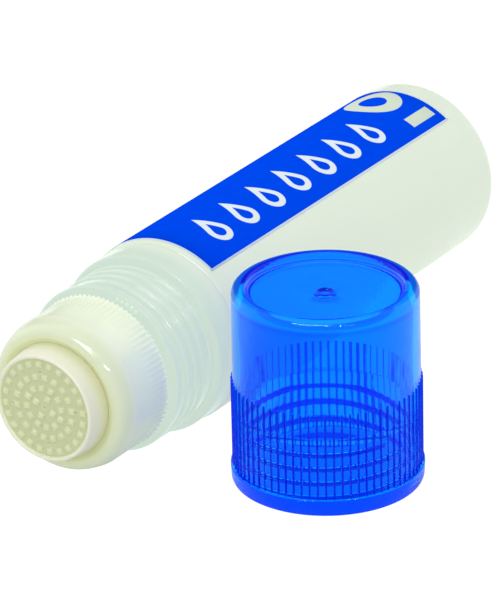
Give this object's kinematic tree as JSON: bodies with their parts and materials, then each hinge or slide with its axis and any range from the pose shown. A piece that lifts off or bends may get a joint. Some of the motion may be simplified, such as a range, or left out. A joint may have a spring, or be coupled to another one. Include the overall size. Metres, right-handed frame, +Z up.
{
  "type": "glue applicator bottle",
  "caption": "Round squeeze bottle of liquid glue with a dimpled rubber applicator tip in a ribbed collar, lying beside its ribbed screw cap.",
  "frame": {"origin": "on the table under the centre of the whole part's bounding box", "axes": "+Y along the lying bottle from its tip to its base, +Z up from the table, +X from the bottle to the cap"},
  "size_m": [0.0666, 0.1186, 0.0337],
  "materials": {
    "bottle_plastic": "milky, satin, slightly see-through",
    "glue": "clear viscous liquid",
    "label_film": "glossy printed film",
    "support_plastic": "satin",
    "tip_rubber": "soft cream rubber, satin",
    "collar_plastic": "milky, glossy, see-through at the edges",
    "cap_plastic": "glossy, see-through blue"
  },
  "bodies": {
    "bottle": {"bottle": "bottle_plastic", "glue_fill": "glue", "label": "label_film", "tip_support": "support_plastic", "collar": "collar_plastic"},
    "rubber_tip": {"rubber_tip": "tip_rubber"},
    "cap": {"cap": "cap_plastic"}
  },
  "joints": [
    {"name": "tip_press", "type": "slide", "parent": "bottle", "child": "rubber_tip", "axis": [0, 1, 0], "range_m": [0, 0.001], "stiffness_N_per_m": 2500},
    {"name": "cap_lift", "type": "slide", "parent": "bottle", "child": "cap", "axis": [0, 0, 1], "range_m": [0, 0.04]}
  ]
}
